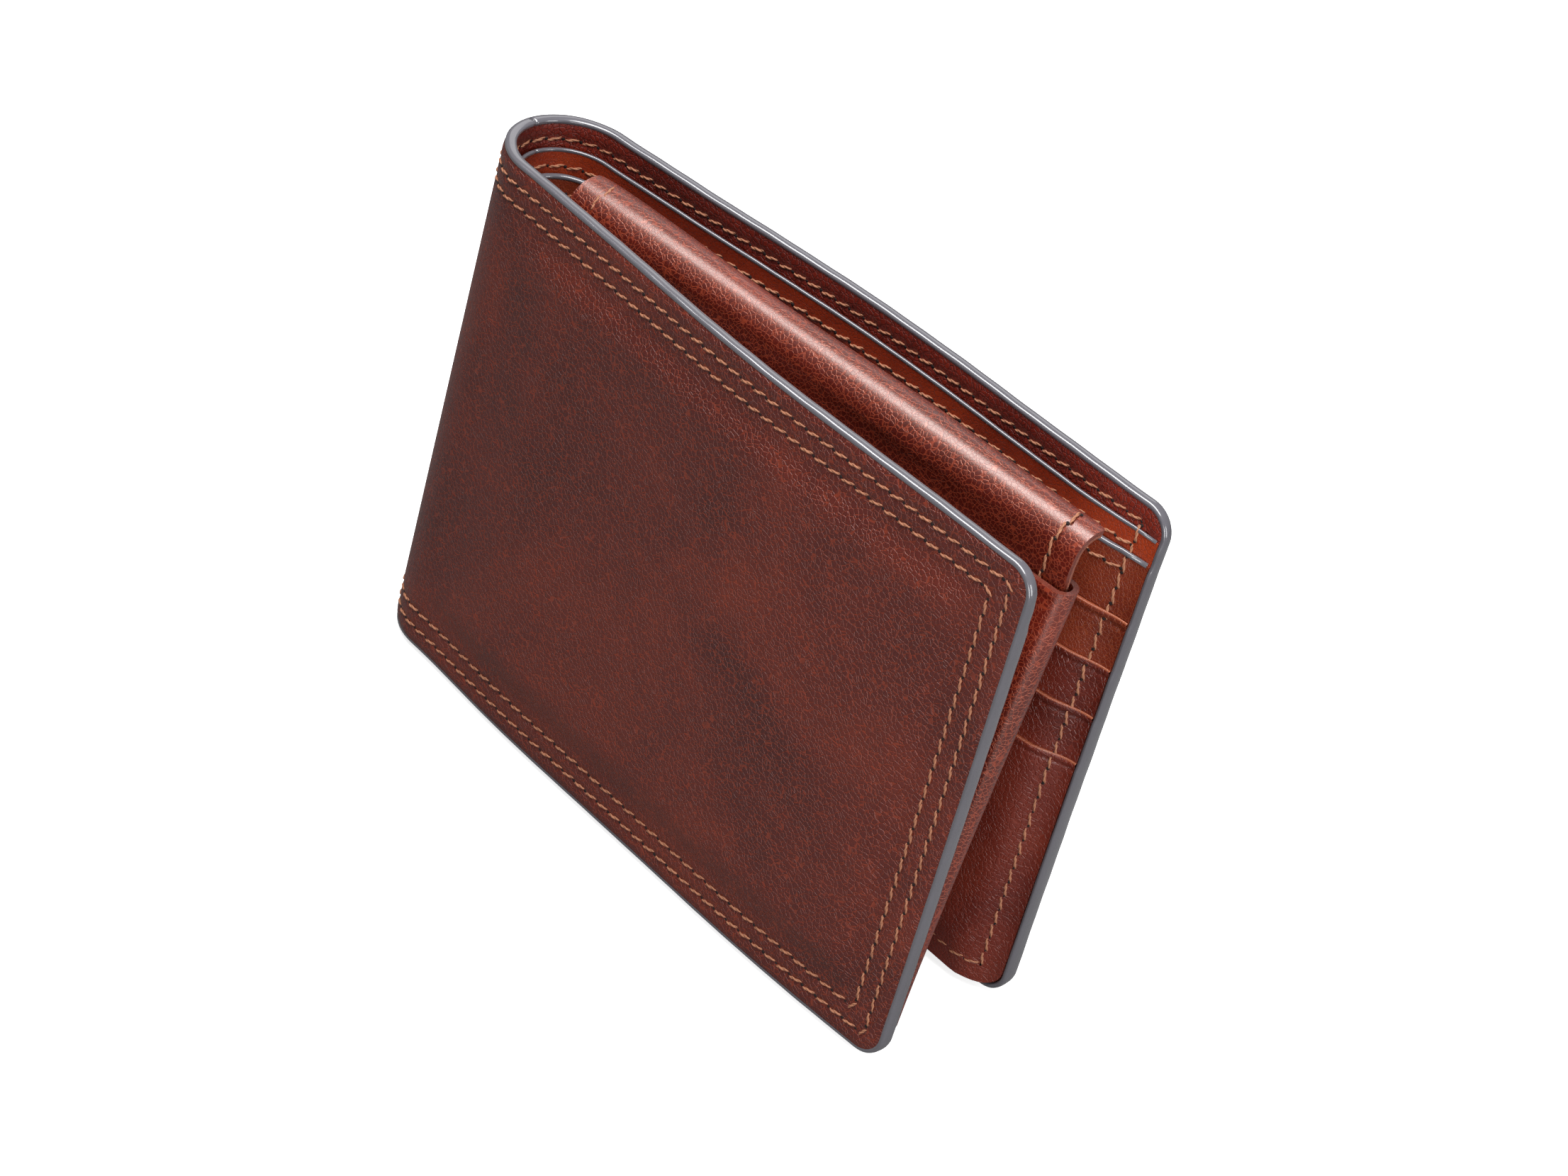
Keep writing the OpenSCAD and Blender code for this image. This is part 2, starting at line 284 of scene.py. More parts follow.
def border_path(top, end, bottom, corner, step=0.8, rise=True):
    """Points (a, z, na, nz) along a sheet's border, a being |u|: its top edge, and where the sheet's top
    corner is rounded also its free edge and bottom."""
    pts = [(a, top, 0, 1) for a in np.arange(0.0, end - corner, step)]
    if not rise:
        pts.append((end - 0.4, top, 0, 1))
        return np.array(pts)
    turn = [(math.sin(f), math.cos(f)) for f in np.linspace(0, math.pi / 2, 12)]
    pts += [(end - corner + corner * p, top - corner + corner * q, p, q) for p, q in turn]
    pts += [(end, z, 1, 0) for z in np.arange(top - corner - step, bottom + corner, -step)]
    pts += [(end - corner + corner * q, bottom + corner - corner * p, q, -p) for p, q in turn]
    pts += [(a, bottom, 0, -1) for a in np.arange(end - corner - step, 0.0, -step)]
    pts.append((0.0, bottom, 0, -1))
    return np.array(pts)


def bead(name, sign, path, t0, t1, out, back, material, sides=14):
    """Rounded coat of edge paint swept along a border path, from depth t0 to t1. out and back are how far
    it reaches past the border and over the sheet."""
    n = len(path)
    phi = np.linspace(0, 2 * math.pi, sides, endpoint=False)
    c, s = np.cos(phi), np.sin(phi)
    # squarer than an ellipse, so that the flat of the edge reads
    c = np.sign(c) * np.abs(c) ** 0.7
    s = np.sign(s) * np.abs(s) ** 0.8
    t0, t1 = np.broadcast_to(t0, n), np.broadcast_to(t1, n)
    d = np.concatenate([[0], np.cumsum(np.hypot(*np.diff(path[:, :2], axis=0).T))])
    wob = 1 + 0.05 * np.sin(d * 0.31) + 0.04 * np.sin(d * 0.83 + 1)
    e = np.where(c > 0, out * c, back * c)[None, :] * wob[:, None]
    t = ((t0 + t1) / 2)[:, None] + ((t1 - t0) / 2)[:, None] * s[None, :]
    a = path[:, 0:1] + path[:, 2:3] * e
    z = path[:, 1:2] + path[:, 3:4] * e
    pts = place(sign * a, t, z)
    verts = pts.reshape(-1, 3)
    faces = grid_faces(n, sides, wrap_v=True)
    faces.append(tuple(range(sides))[::-1])
    faces.append(tuple((n - 1) * sides + i for i in range(sides)))
    uv = np.stack([np.broadcast_to(d[:, None], t.shape), t], -1).reshape(-1, 2) * UV_SCALE
    ob = make_mesh(name, verts, faces, uv, material)
    fix_normals(ob)
    return ob


# ---------------------------------------------------------------- materials
def rgb(r, g, b):
    """Linear colour from 0-255 display values."""
    def lin(c):
        c /= 255.0
        return c / 12.92 if c <= 0.04045 else ((c + 0.055) / 1.055) ** 2.4
    return (lin(r), lin(g), lin(b), 1.0)


def node(nt, kind, **values):
    n = nt.nodes.new(kind)
    for k, v in values.items():
        if k in n.inputs:
            n.inputs[k].default_value = v
        else:
            setattr(n, k, v)
    return n


def leather(name, dark, mid, light, grain, bump, rough, crackle=0.0, streak=0.25, coat=0.15, specular=0.5,
            coat_ior=1.5, coat_rough=0.27, crease=(0.2, 0.06, 0.025, 1), sheen_tint=(1, 1, 1, 1)):
    """Grained leather: mottled dye, pores, pebble grain and pull-up streaks. grain is the cells' size in mm."""
    m = bpy.data.materials.new(name)
    m.use_nodes = True
    nt = m.node_tree
    nt.nodes.clear()
    L = nt.links.new
    out = node(nt, "ShaderNodeOutputMaterial")
    bsdf = node(nt, "ShaderNodeBsdfPrincipled")
    L(bsdf.outputs[0], out.inputs[0])
    uv = node(nt, "ShaderNodeUVMap", uv_map="surface")
    # broad mottling of the dye
    big = node(nt, "ShaderNodeTexNoise", Scale=3.0, Detail=7.0, Roughness=0.62, Distortion=0.6)
    L(uv.outputs[0], big.inputs["Vector"])
    ramp = node(nt, "ShaderNodeValToRGB")
    ramp.color_ramp.elements[0].position = 0.36
    ramp.color_ramp.elements[0].color = dark
    ramp.color_ramp.elements[1].position = 0.68
    ramp.color_ramp.elements[1].color = light
    e = ramp.color_ramp.elements.new(0.5)
    e.color = mid
    L(big.outputs["Fac"], ramp.inputs[0])
    # long pull-up streaks
    smap = node(nt, "ShaderNodeMapping")
    smap.inputs["Rotation"].default_value = (0, 0, math.radians(28))
    smap.inputs["Scale"].default_value = (6, 60, 1)
    L(uv.outputs[0], smap.inputs[0])
    streaks = node(nt, "ShaderNodeTexNoise", Scale=1.0, Detail=5.0, Roughness=0.7, Distortion=1.2)
    L(smap.outputs[0], streaks.inputs["Vector"])
    sramp = node(nt, "ShaderNodeMapRange")
    sramp.inputs["From Min"].default_value = 0.55
    sramp.inputs["From Max"].default_value = 0.8
    L(streaks.outputs["Fac"], sramp.inputs["Value"])
    sm = node(nt, "ShaderNodeMath", operation="MULTIPLY")
    sm.inputs[1].default_value = streak
    L(sramp.outputs[0], sm.inputs[0])
    mix1 = node(nt, "ShaderNodeMix", data_type="RGBA")
    L(sm.outputs[0], mix1.inputs["Factor"])
    L(ramp.outputs[0], mix1.inputs[6])
    mix1.inputs[7].default_value = light
    # pebble grain: rounded cells with fine creases between them
    warp = node(nt, "ShaderNodeTexNoise", Scale=90.0, Detail=3.0)
    L(uv.outputs[0], warp.inputs["Vector"])
    vadd = node(nt, "ShaderNodeVectorMath", operation="MULTIPLY_ADD")
    vadd.inputs[1].default_value = (0.006, 0.006, 0.0)
    L(warp.outputs["Color"], vadd.inputs[0])
    L(uv.outputs[0], vadd.inputs[2])
    cells = node(nt, "ShaderNodeTexVoronoi", feature="DISTANCE_TO_EDGE", Scale=100.0 / grain)
    L(vadd.outputs[0], cells.inputs["Vector"])
    cr = node(nt, "ShaderNodeMapRange")
    cr.interpolation_type = "SMOOTHSTEP"
    cr.inputs["From Max"].default_value = 0.13
    L(cells.outputs["Distance"], cr.inputs["Value"])
    fine = node(nt, "ShaderNodeTexNoise", Scale=320.0, Detail=4.0, Roughness=0.6)
    L(uv.outputs[0], fine.inputs["Vector"])
    soft = node(nt, "ShaderNodeTexNoise", Scale=22.0, Detail=3.0, Roughness=0.5)
    L(uv.outputs[0], soft.inputs["Vector"])
    # speckled pores tint the colour
    pore = node(nt, "ShaderNodeMapRange")
    pore.inputs["From Min"].default_value = 0.45
    pore.inputs["From Max"].default_value = 0.72
    pore.inputs["To Max"].default_value = 0.25
    L(fine.outputs["Fac"], pore.inputs["Value"])
    mix2 = node(nt, "ShaderNodeMix", data_type="RGBA")
    L(pore.outputs[0], mix2.inputs["Factor"])
    L(mix1.outputs[2], mix2.inputs[6])
    mix2.inputs[7].default_value = light
    inv = node(nt, "ShaderNodeMath", operation="SUBTRACT")
    inv.inputs[0].default_value = 1.0
    L(cr.outputs[0], inv.inputs[1])
    cm = node(nt, "ShaderNodeMath", operation="MULTIPLY")
    cm.inputs[1].default_value = 0.3 + crackle
    L(inv.outputs[0], cm.inputs[0])
    mix3 = node(nt, "ShaderNodeMix", data_type="RGBA")
    L(cm.outputs[0], mix3.inputs["Factor"])
    L(mix2.outputs[2], mix3.inputs[6])
    mix3.inputs[7].default_value = crease
    L(mix3.outputs[2], bsdf.inputs["Base Color"])
    # roughness
    rr = node(nt, "ShaderNodeMapRange")
    rr.inputs["To Min"].default_value = rough - 0.07
    rr.inputs["To Max"].default_value = rough + 0.1
    L(big.outputs["Fac"], rr.inputs["Value"])
    L(rr.outputs[0], bsdf.inputs["Roughness"])
    # heights
    h2 = node(nt, "ShaderNodeMath", operation="MULTIPLY_ADD")
    h2.inputs[1].default_value = 0.7
    L(fine.outputs["Fac"], h2.inputs[0])
    L(cr.outputs[0], h2.inputs[2])
    h3 = node(nt, "ShaderNodeMath", operation="MULTIPLY_ADD")
    h3.inputs[1].default_value = 2.0
    L(soft.outputs["Fac"], h3.inputs[0])
    L(h2.outputs[0], h3.inputs[2])
    b = node(nt, "ShaderNodeBump", Strength=bump, Distance=0.00012)
    L(h3.outputs[0], b.inputs["Height"])
    L(b.outputs[0], bsdf.inputs["Normal"])
    bsdf.inputs["Specular IOR Level"].default_value = specular
    bsdf.inputs["Specular Tint"].default_value = sheen_tint
    bsdf.inputs["Coat Weight"].default_value = coat
    bsdf.inputs["Coat Roughness"].default_value = coat_rough
    bsdf.inputs["Coat IOR"].default_value = coat_ior
    return m


def simple(name, colour, rough, bump_scale=400.0, bump=0.2, vary=0.2, metallic=0.0, coat=0.0):
    """Plain finish with slight colour variation and fine bumps."""
    m = bpy.data.materials.new(name)
    m.use_nodes = True
    nt = m.node_tree
    nt.nodes.clear()
    L = nt.links.new
    out = node(nt, "ShaderNodeOutputMaterial")
    bsdf = node(nt, "ShaderNodeBsdfPrincipled")
    L(bsdf.outputs[0], out.inputs[0])
    co = node(nt, "ShaderNodeTexCoord")
    n = node(nt, "ShaderNodeTexNoise", Scale=bump_scale, Detail=4.0, Roughness=0.6)
    L(co.outputs["Object"], n.inputs["Vector"])
    mix = node(nt, "ShaderNodeMix", data_type="RGBA")
    L(n.outputs["Fac"], mix.inputs["Factor"])
    mix.inputs[6].default_value = tuple(c * (1 - vary) for c in colour[:3]) + (1,)
    mix.inputs[7].default_value = tuple(min(c * (1 + vary), 1) for c in colour[:3]) + (1,)
    L(mix.outputs[2], bsdf.inputs["Base Color"])
    bsdf.inputs["Roughness"].default_value = rough
    bsdf.inputs["Metallic"].default_value = metallic
    bsdf.inputs["Coat Weight"].default_value = coat
    b = node(nt, "ShaderNodeBump", Strength=bump, Distance=0.0001)
    L(n.outputs["Fac"], b.inputs["Height"])
    L(b.outputs[0], bsdf.inputs["Normal"])
    return m


M_COVER = leather("cover_leather", rgb(66, 17, 12), rgb(84, 24, 15), rgb(106, 35, 19), grain=0.8, bump=0.9,
                  rough=0.42, crackle=0.16, coat=0.06, crease=rgb(150, 60, 32))
M_LINING = leather("lining_leather", rgb(92, 20, 8), rgb(112, 28, 14), rgb(134, 40, 20), grain=0.75, bump=0.7,
                   rough=0.45, crackle=0.15, coat=0.08, crease=rgb(50, 12, 6))
M_ORANGE = leather("divider_leather", rgb(122, 34, 8), rgb(144, 44, 12), rgb(166, 60, 20), grain=0.6, bump=0.4,
                   rough=0.45, coat=0.08, crease=rgb(92, 22, 6))
M_PANEL = leather("panel_leather", rgb(88, 28, 13), rgb(106, 36, 18), rgb(126, 48, 26), grain=0.6, bump=0.4,
                  rough=0.38, coat=0.1, crease=rgb(160, 76, 38))
M_POCKET = leather("pocket_leather", rgb(78, 22, 14), rgb(96, 30, 20), rgb(116, 42, 26), grain=0.75, bump=0.6,
                   rough=0.36, coat=0.12, crease=rgb(136, 58, 42))
M_POUCH = leather("pouch_leather", rgb(64, 10, 5), rgb(78, 14, 7), rgb(98, 22, 10), grain=0.7, bump=0.45,
                  rough=0.36, crackle=0.3, coat=0.6, streak=0.1, specular=0.85, coat_ior=1.7, coat_rough=0.3,
                  crease=rgb(158, 66, 40), sheen_tint=(1.0, 0.55, 0.42, 1))
# pocket mouth rims: lighter tan than the pockets, a painted highlight where the turned edges catch the light
M_MOUTH_HIGHLIGHT = leather("mouth_painted_highlight", rgb(120, 54, 34), rgb(146, 74, 48), rgb(170, 98, 66), grain=0.5, bump=0.2,
                  rough=0.34)
M_RAW = leather("raw_edge", rgb(120, 60, 44), rgb(150, 84, 64), rgb(178, 112, 90), grain=0.5, bump=0.5, rough=0.7)
# edge paint: dark charcoal paint, its grey made lighter as a painted reflection on the glossy edges
M_PAINT_AND_SHEEN = simple("edge_paint_and_sheen", rgb(92, 90, 96), 0.22, 260.0, 0.15, 0.1, coat=1.0)
M_THREAD = simple("thread", rgb(160, 106, 78), 0.7, 1500.0, 0.4, 0.3)
# needle holes: near-black discs, painted shade inside the holes
M_HOLE_SHADE = simple("needle_hole_shade", rgb(28, 12, 10), 0.9)
M_SNAP = simple("snap_brass", rgb(190, 160, 100), 0.28, 300.0, 0.05, 0.05, metallic=1.0)


def attach(ob, where, nodes):
    """Puts a piece in place: 'back', 'front' and 'flap' pieces keep their world transform baked into the mesh,
    and any other word is the one body that the piece rides."""
    if where == "back":
        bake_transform(ob)
    elif where == "front":
        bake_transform(ob)
    elif where == "flap":
        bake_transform(ob)
    else:
        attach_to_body(ob, where)
    if nodes:
        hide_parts(*nodes)


# ---------------------------------------------------------------- stitches
PITCH = 2.75
SLANT = 0.22
THREAD_RADIUS = 0.25
HOLE_RADIUS = 0.32
ROW_STEP = 0.5


class Thread:
    """Collects the stitches and needle holes of several rows into two meshes."""

    def __init__(self, name):
        self.name, self.v, self.f, self.hv, self.hf = name, [], [], [], []

    def row(self, points, normals):
        """points and normals: dense arrays along the row, in metres."""
        points, normals = np.asarray(points), np.asarray(normals)
        d = np.concatenate([[0], np.cumsum(np.linalg.norm(np.diff(points, axis=0), axis=1))])
        total = d[-1]
        count = max(int(round(total / (PITCH * MM))), 1)
        knots = np.linspace(0, total, count + 1)

        def at(x):
            p = np.array([np.interp(x, d, points[:, k]) for k in range(3)])
            n = np.array([np.interp(x, d, normals[:, k]) for k in range(3)])
            return p, n / np.linalg.norm(n)

        for i in range(count):
            p0, n0 = at(knots[i])
            p1, _ = at(knots[i + 1])
            mid, n = at((knots[i] + knots[i + 1]) / 2)
            self.hole(p0, n0)
            along = p1 - p0
            length = np.linalg.norm(along)
            along = along / length
            side = np.cross(n, along)
            tilt = (SLANT + random.uniform(-0.05, 0.05)) * length
            thick = THREAD_RADIUS * MM * random.uniform(0.9, 1.08)
            self.stitch(mid, along, side, n, length * 0.94, tilt, thick)
        p, n = at(total)
        self.hole(p, n)

    def stitch(self, mid, along, side, n, length, tilt, r):
        """Two twisted plies arching from hole to hole."""
        steps, sides = 9, 6
        phase = random.uniform(0, math.pi)
        for ply in (0, math.pi):
            base = len(self.v)
            for i in range(steps):
                f = i / (steps - 1)
                x = (f - 0.5) * length
                arch = math.sin(math.pi * f)
                twist = phase + ply + f * 2.2 * math.pi
                cx = side * (math.cos(twist) * r * 0.42 + (f - 0.5) * tilt)
                cn = n * (math.sin(twist) * r * 0.42 + (-0.55 + 0.95 * arch ** 0.45) * r)
                c = mid + along * x + cx + cn
                rr = r * 0.66 * (0.55 + 0.45 * arch ** 0.5)
                for k in range(sides):
                    a = 2 * math.pi * k / sides
                    self.v.append(c + side * math.cos(a) * rr + n * math.sin(a) * rr)
            for i in range(steps - 1):
                for k in range(sides):
                    q = (k + 1) % sides
                    self.f.append((base + i * sides + k, base + i * sides + q,
                                   base + (i + 1) * sides + q, base + (i + 1) * sides + k))
            self.f.append(tuple(base + k for k in range(sides))[::-1])
            self.f.append(tuple(base + (steps - 1) * sides + k for k in range(sides)))

    def hole(self, p, n):
        """Dark dimple where the needle went through; its dark colour is painted shade of the hole."""
        a = np.cross(n, [0, 0, 1.0])
        if np.linalg.norm(a) < 0.1:
            a = np.cross(n, [1.0, 0, 0])
        a = a / np.linalg.norm(a)
        b = np.cross(n, a)
        r = HOLE_RADIUS * MM * random.uniform(0.8, 1.15)
        base, sides = len(self.hv), 8
        for lift, q in ((-0.25, 1.0), (0.07, 0.8)):
            for k in range(sides):
                f = 2 * math.pi * k / sides
                self.hv.append(p + (a * math.cos(f) + b * math.sin(f)) * r * q + n * lift * MM)
        for k in range(sides):
            q = (k + 1) % sides
            self.hf.append((base + k, base + q, base + sides + q, base + sides + k))
        self.hf.append(tuple(base + k for k in range(sides))[::-1])
        self.hf.append(tuple(base + sides + k for k in range(sides)))

    def build(self, where, nodes):
        ob = make_mesh(self.name, self.v, self.f, None, M_THREAD)
        attach(ob, where, nodes)
        # the holes' dark discs are painted shade
        hole_shade = make_mesh(self.name + "_hole_shade", self.hv, self.hf, None, M_HOLE_SHADE)
        attach(hole_shade, where, [])


def with_normals(points, above):
    """The points, and unit normals from them towards the points just above the surface."""
    n = above - points
    return points, n / np.linalg.norm(n, axis=1)[:, None]


def surface_row(sign, a, z, depth, inward):
    """Points and normals of a row over a layer: a is |u|, depth a function of u and z."""
    u = sign * np.asarray(a, float)
    z = np.broadcast_to(np.asarray(z, float), u.shape)
    t = depth(u, z)
    return with_normals(place(u, t, z), place(u, t + (0.2 if inward else -0.2), z))


def row_path(inset):
    """|u| and z along the shell's top, free edge and bottom at an inset from the border."""
    path = border_path(HEIGHT - inset, U_MAX - inset, inset, max(CORNER - inset, 0.9), ROW_STEP)
    return path[:, 0], path[:, 1]


# ---------------------------------------------------------------- the full-width layers
def outer_depth(u, z):
    return -crown(u, z)


def lining_depth(u, z):
    d = edge_distance(u, z)
    return SHELL_IN - 0.18 * np.exp(-((d - ROW_INSETS[0]) / 0.6) ** 2) - 0.15 * (1 - smooth(d, 0, 1.0))


def split_depth(u, z):
    return 0 * u + SPLIT


def lining_outer(u, z):
    return 0 * u + SPLIT + 0.02


def inside_leaf(side, sign, names, top, outer, inner, material, nodes, grow, reach_out, sides):
    """Leaf that wraps round the spine inside the shell, and the painted rim along its top."""
    leaf = full_width(f"{names[0]}_{side}", sign, top, LEAF_END, outer, inner, material, bottom=LEAF_FOOT,
                      rise=False)
    attach(leaf, side, nodes)
    path = border_path(top, LEAF_END, LEAF_FOOT, CORNER, rise=False)
    u, z = sign * path[:, 0], path[:, 1]
    rim = bead(f"{names[1]}_{side}", sign, path, outer(u, z) - grow[0], inner(u, z) + grow[1], reach_out, reach_out,
               M_PAINT_AND_SHEEN, sides=sides)
    attach(rim, side, [])


for side, sign in (("back", 1), ("front", -1)):
    on_back = sign > 0
    cover = full_width(f"outer_leather_{side}", sign, HEIGHT, U_MAX, outer_depth, split_depth, M_COVER)
    spine_nodes = ["outer_cover_spine"] if on_back else []
    attach(cover, side, [f"outer_cover_{side}"] + spine_nodes + [f"cover_padding_{side}"])
    lining = full_width(f"lining_{side}_half", sign, HEIGHT - 0.1, U_MAX - 0.1, lining_outer, lining_depth, M_LINING)
    attach(lining, side, [f"cover_lining_{side}"] + (["cover_lining_spine"] if on_back else []))

    # painted rim of the shell; the free edge is thicker where the inside leaves are sewn in
    path = border_path(HEIGHT, U_MAX, 0.0, CORNER)
    going_down = (path[:, 2] > 0.5) | (path[:, 3] < 0)
    steps = [(DIVIDER_TOP, 0.25), (PANEL_TOP, 0.35)]
    if on_back:
        steps += [(mouth, 0.17) for mouth in POCKET_MOUTHS]
    stack = sum(rise * smooth(-path[:, 1], -top, -top + 1.2) for top, rise in steps)
    stack = np.where(going_down, stack, 0)
    # the rim's grey is partly the paint's own colour and partly painted reflection
    rim = bead(f"painted_rim_{side}", sign, path, 0.16, SHELL_IN + 0.05 + stack, 0.5, 0.5, M_PAINT_AND_SHEEN)
    attach(rim, side, [])

    inside_leaf(side, sign, ("note_divider", "divider_rim"), DIVIDER_TOP, divider_depth, divider_inner, M_ORANGE,
                [f"bill_divider_{side}"] + (["bill_divider_spine"] if on_back else []),
                (0.06, 0.08), 0.3, 10)
    inside_leaf(side, sign, ("inside_panel", "panel_rim"), PANEL_TOP, panel_depth, panel_inner, M_PANEL,
                ["card_panel", "inner_panel_spine"] if on_back else ["inner_panel_front"],
                (0.1, 0.12), 0.4, 12)

# ---------------------------------------------------------------- card pockets on the back half
POCKET_START = ARC + 6.0
POCKET_STEP = 0.62


def pocket_base(u, z, k):
    """Outer depth of pocket leaf k."""
    spread = 0.24 + 0.76 * smooth(U_MAX - np.abs(u), 0.5, 8.0)
    return panel_inner(u, z) + LAYER_GAP + k * POCKET_STEP * spread


def pocket_sheet(k):
    """Card pocket leaf with a turned mouth."""
    mouth = POCKET_MOUTHS[k]
    end = U_MAX - 0.4
    turn = end - CORNER + CORNER * np.sin(np.linspace(0, math.pi / 2, 8))
    us = np.concatenate([np.arange(POCKET_START, end - CORNER, 1.5), turn])
    v = np.concatenate([np.linspace(0, 0.9, 40), 1 - 0.1 * (1 - np.linspace(0, 1, 22)[1:])])
    low = 0.5 + corner_drop(us, end)
    sag = 0.35 * np.sin(math.pi * (us - POCKET_START) / (end - POCKET_START))
    z = low[:, None] + v[None, :] * (mouth - sag - low)[:, None]
    u = np.broadcast_to(us[:, None], z.shape)
    below = mouth - z
    # turned mouth: a rounded lip with a crease line beneath it
    lip = 0.2 * np.exp(-((below - 0.45) / 0.4) ** 2) - 0.2 * np.exp(-((below - 1.3) / 0.25) ** 2)
    squeeze = smooth(end - u, 0, 7)
    base = pocket_base(u, z, k)
    swell = 0.22 * smooth(below, 0, 14) * squeeze * (0.6 + 0.4 * np.sin(u * 0.05 + k))
    t_in = base + POCKET_THICK * skive(u) + lip + swell
    ob = thick_sheet(f"pocket_leaf_{k + 1}", place(u, base, z), place(u, t_in, z),
                     np.stack([u + 13 * k, z], -1) * UV_SCALE, M_POCKET if k else M_PANEL)
    sharpen(ob)
    attach(ob, "back_half", [f"card_pocket_{k + 1}"])
    top = mouth - sag
    path = np.stack([us, top, 0 * us, 0 * us + 1], -1)
    b0 = pocket_base(us, top, k)
    # the mouth bead's lighter tan is a painted highlight on the turned edge
    rim = bead(f"pocket_mouth_{k + 1}", 1, path, b0 + 0.05, b0 + POCKET_THICK * skive(us) + 0.12, 0.14, 0.5,
               M_MOUTH_HIGHLIGHT, sides=10)
    attach(rim, "back_half", [])


for k in range(POCKETS):
    pocket_sheet(k)


def back_surface(u, z):
    """Depth of the innermost layer of the back half at each height."""
    t = np.where(z > PANEL_TOP, divider_inner(u, z), panel_inner(u, z))
    t = np.where(z > DIVIDER_TOP, lining_depth(u, z), t)
    for k, mouth in enumerate(POCKET_MOUTHS):
        t = np.where(z < mouth, pocket_base(u, z, k) + POCKET_THICK * skive(u) + 0.02, t)
    return t


# ---------------------------------------------------------------- coin pouch on the front half
POUCH_S0, POUCH_S1 = 6.0, 106.6  # ends of the pouch, from the spine's end of the cover
POUCH_FOOT = 2.0
WALL_TOP = 80.0
WALL_FOOT = 4.9
WALL_TO_ROOT = 1.5
FRONT_TOP = 72.0
FRONT_END = POUCH_S1 - 3.2
FLAP_S0, FLAP_S1 = 5.8, 105.0
FLAP_MIDDLE = 50.0
FLAP_TIP = 54.0
ROOT_FOOT = 68.0
ROLL_R = 4.4
ROLL_Z = 84.5
SNAP_Z = 60


def pouch_place(s, t, z):
    """As place, on the front half without the cover's bulge, s being the distance from the spine's end."""
    s, t, z = np.broadcast_arrays(*(np.asarray(a, float) for a in (s, t, z)))
    r = RADIUS - t
    x = CENTRE[0] + r * math.cos(FRONT_ANGLE) + s * math.cos(-OPENING)
    y = CENTRE[1] + r * math.sin(FRONT_ANGLE) + s * math.sin(-OPENING)
    return np.stack([x, y, z], -1) * MM


FRONT_OUT = np.array([math.cos(FRONT_ANGLE), math.sin(FRONT_ANGLE)])
FRONT_ALONG = np.array([math.cos(OPENING), -math.sin(OPENING)])
FLAP_AXIS = np.array(JOINTS["flap_hinge"]["axis"])[:2]
FLAP_FROM = np.array(JOINTS["flap_hinge"]["pos_m"])[:2] / MM - CENTRE
ROLL_SLOPE = -(FLAP_AXIS @ FRONT_OUT) / (FLAP_AXIS @ FRONT_ALONG)


def roll_centre(s):
    """Depth of the roll's centre, straight below the flap's hinge line."""
    return RADIUS - FLAP_FROM @ FRONT_OUT + ROLL_SLOPE * (s - FLAP_FROM @ FRONT_ALONG)


def wall_depth(s, z):
    """Depth of the pouch's back wall: against the panel at the bottom, standing off at the top."""
    f = np.clip(z / WALL_TOP, 0, 1.15)
    return WALL_FOOT + (roll_centre(s) - ROLL_R - WALL_TO_ROOT - WALL_FOOT) * f ** 1.35


def fold_radius(z):
    """Radius of the gusset's fold, growing upwards."""
    return 1.4 + 1.0 * z / WALL_TOP


def pouch_wall():
    """Back wall with the gusset folded round its free end."""
    zs = np.concatenate([np.linspace(POUCH_FOOT, WALL_TOP - 3, 50), np.linspace(WALL_TOP - 2.8, WALL_TOP, 10)])
    wall_s = np.linspace(POUCH_S0, POUCH_S1, 70)
    ang = np.linspace(0, math.pi, 16)[1:]
    tail = np.linspace(0.5, 4, 8)
    rows_o, rows_i, uvs = [], [], []
    for z in zs:
        rho = fold_radius(z)
        below = WALL_TOP - z
        lip = 0.22 * math.exp(-((below - 0.6) / 0.5) ** 2) - 0.1 * math.exp(-((below - 1.6) / 0.35) ** 2)
        end = POUCH_S1 - rho
        s = POUCH_S0 + (wall_s - POUCH_S0) * (end - POUCH_S0) / (POUCH_S1 - POUCH_S0)
        t = wall_depth(s, z)
        t_end = wall_depth(end, z)
        so = np.concatenate([s, end + rho * np.sin(ang), end - tail])
        to = np.concatenate([t - lip, t_end + rho - rho * np.cos(ang), t_end + 2 * rho + np.linspace(0, 0.3, 8)])
        ri = max(rho - POUCH_THICK, 0.25)
        si = np.concatenate([s, end + ri * np.sin(ang), end - tail])
        ti = np.concatenate([t + POUCH_THICK, t_end + rho - ri * np.cos(ang), np.full(8, t_end + rho + ri)])
        rows_o.append(pouch_place(so, to, z))
        rows_i.append(pouch_place(si, ti, z))
        d = np.concatenate([s, end + rho * ang, end + rho * math.pi + tail])
        uvs.append(np.stack([d, np.full_like(d, z)], -1) * UV_SCALE)
    ob = thick_sheet("pouch_wall_and_fold", np.array(rows_o), np.array(rows_i), np.array(uvs), M_POUCH)
    sharpen(ob)
    attach(ob, "front_half", ["pouch_back_wall", "pouch_gusset_right"])


def front_depth(s, z):
    """Depth of the pouch's front wall, which bellies out in the middle."""
    belly = 0.9 * np.sin(math.pi * (s - POUCH_S0) / 95) * np.sin(math.pi * z / 80)
    return wall_depth(s, z) + 2 * fold_radius(z) + 0.4 + belly


def pouch_front():
    S, Z = np.meshgrid(np.linspace(POUCH_S0, FRONT_END, 70), np.linspace(POUCH_FOOT, FRONT_TOP, 50))
    t = front_depth(S, Z)
    ob = thick_sheet("pouch_front_panel", pouch_place(S, t, Z), pouch_place(S, t + POUCH_THICK, Z),
                     np.stack([S + 31, Z], -1) * UV_SCALE, M_POUCH)
    sharpen(ob)
    attach(ob, "front_half", ["pouch_front_wall"])


